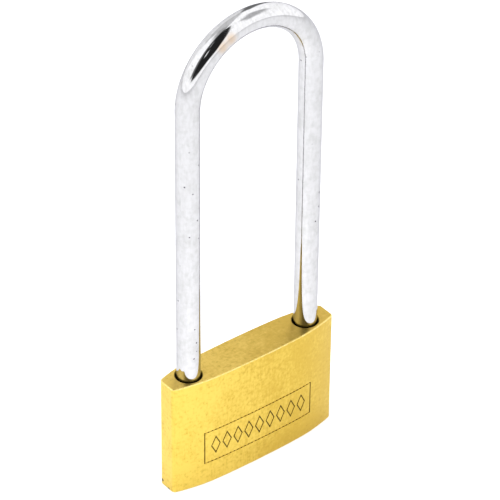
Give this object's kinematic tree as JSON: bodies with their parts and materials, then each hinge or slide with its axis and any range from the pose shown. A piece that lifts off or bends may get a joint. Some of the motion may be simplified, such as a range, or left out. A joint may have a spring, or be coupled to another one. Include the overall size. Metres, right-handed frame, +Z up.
{
  "type": "padlock",
  "caption": "Flat brass padlock with an extra-long chromed round shackle, a bottom key cylinder with spring pins and a sliding bolt inside.",
  "frame": {"origin": "centre of the flat underside of the brass body", "axes": "+X along the body's width towards the shackle's short leg, +Y from the engraved front face to the back, +Z up the shackle"},
  "size_m": [0.05, 0.0102, 0.1296],
  "materials": {
    "body_brass": "bright brushed brass under clear lacquer",
    "plug_brass": "ground flush",
    "cylinder_brass": "turned",
    "pin_brass": "turned",
    "shackle_chrome": "polished chrome plate on steel",
    "bolt_steel": "turned",
    "spring_steel": "drawn wire"
  },
  "bodies": {
    "lock_body": {"lock_body": "body_brass", "latch_bore_plug": "plug_brass", "heel_retaining_pin": "plug_brass", "plug_retaining_pin": "plug_brass", "latch_spring": "spring_steel", "shackle_spring": "spring_steel", "chamber_plug_1": "plug_brass", "chamber_plug_2": "plug_brass", "chamber_plug_3": "plug_brass", "chamber_plug_4": "plug_brass", "chamber_plug_5": "plug_brass", "pin_spring_1": "spring_steel", "pin_spring_2": "spring_steel", "pin_spring_3": "spring_steel", "pin_spring_4": "spring_steel", "pin_spring_5": "spring_steel"},
    "shackle": {"shackle": "shackle_chrome"},
    "key_plug": {"key_plug": "cylinder_brass", "plug_cam": "bolt_steel"},
    "latch_bolt": {"latch_bolt": "bolt_steel"},
    "driver_pin_1": {"driver_pin_1": "pin_brass"},
    "key_pin_1": {"key_pin_1": "pin_brass"},
    "driver_pin_2": {"driver_pin_2": "pin_brass"},
    "key_pin_2": {"key_pin_2": "pin_brass"},
    "driver_pin_3": {"driver_pin_3": "pin_brass"},
    "key_pin_3": {"key_pin_3": "pin_brass"},
    "driver_pin_4": {"driver_pin_4": "pin_brass"},
    "key_pin_4": {"key_pin_4": "pin_brass"},
    "driver_pin_5": {"driver_pin_5": "pin_brass"},
    "key_pin_5": {"key_pin_5": "pin_brass"}
  },
  "joints": [
    {"name": "shackle_lift", "type": "slide", "parent": "lock_body", "child": "shackle", "axis": [0, 0, 1], "range_m": [0, 0.011], "deforming": ["shackle_spring"]},
    {"name": "plug_turn", "type": "hinge", "parent": "lock_body", "child": "key_plug", "pos_m": [0.004, 0, 0], "axis": [0, 0, 1], "range_deg": [-90, 0]},
    {"name": "latch_slide", "type": "slide", "parent": "lock_body", "child": "latch_bolt", "axis": [1, 0, 0], "range_m": [0, 0.0022], "deforming": ["latch_spring"]},
    {"name": "driver_slide_1", "type": "slide", "parent": "lock_body", "child": "driver_pin_1", "axis": [1, 0, 0], "range_m": [0, 0.0015], "stiffness_N_per_m": 20, "springref_m": -0.002, "deforming": ["pin_spring_1"]},
    {"name": "driver_slide_2", "type": "slide", "parent": "lock_body", "child": "driver_pin_2", "axis": [1, 0, 0], "range_m": [0, 0.0015], "stiffness_N_per_m": 20, "springref_m": -0.002, "deforming": ["pin_spring_2"]},
    {"name": "driver_slide_3", "type": "slide", "parent": "lock_body", "child": "driver_pin_3", "axis": [1, 0, 0], "range_m": [0, 0.0015], "stiffness_N_per_m": 20, "springref_m": -0.002, "deforming": ["pin_spring_3"]},
    {"name": "driver_slide_4", "type": "slide", "parent": "lock_body", "child": "driver_pin_4", "axis": [1, 0, 0], "range_m": [0, 0.0015], "stiffness_N_per_m": 20, "springref_m": -0.002, "deforming": ["pin_spring_4"]},
    {"name": "driver_slide_5", "type": "slide", "parent": "lock_body", "child": "driver_pin_5", "axis": [1, 0, 0], "range_m": [0, 0.0015], "stiffness_N_per_m": 20, "springref_m": -0.002, "deforming": ["pin_spring_5"]},
    {"name": "key_pin_slide_1", "type": "slide", "parent": "key_plug", "child": "key_pin_1", "axis": [0, 1, 0], "range_m": [-0.0012, 0]},
    {"name": "key_pin_slide_2", "type": "slide", "parent": "key_plug", "child": "key_pin_2", "axis": [0, 1, 0], "range_m": [-0.002, 0]},
    {"name": "key_pin_slide_3", "type": "slide", "parent": "key_plug", "child": "key_pin_3", "axis": [0, 1, 0], "range_m": [-0.0008, 0]},
    {"name": "key_pin_slide_4", "type": "slide", "parent": "key_plug", "child": "key_pin_4", "axis": [0, 1, 0], "range_m": [-0.0016, 0]},
    {"name": "key_pin_slide_5", "type": "slide", "parent": "key_plug", "child": "key_pin_5", "axis": [0, 1, 0], "range_m": [-0.0012, 0]}
  ],
  "couplings": [
    {"joint": "latch_slide", "follows": "plug_turn", "m_per_rad": -0.0014006}
  ]
}
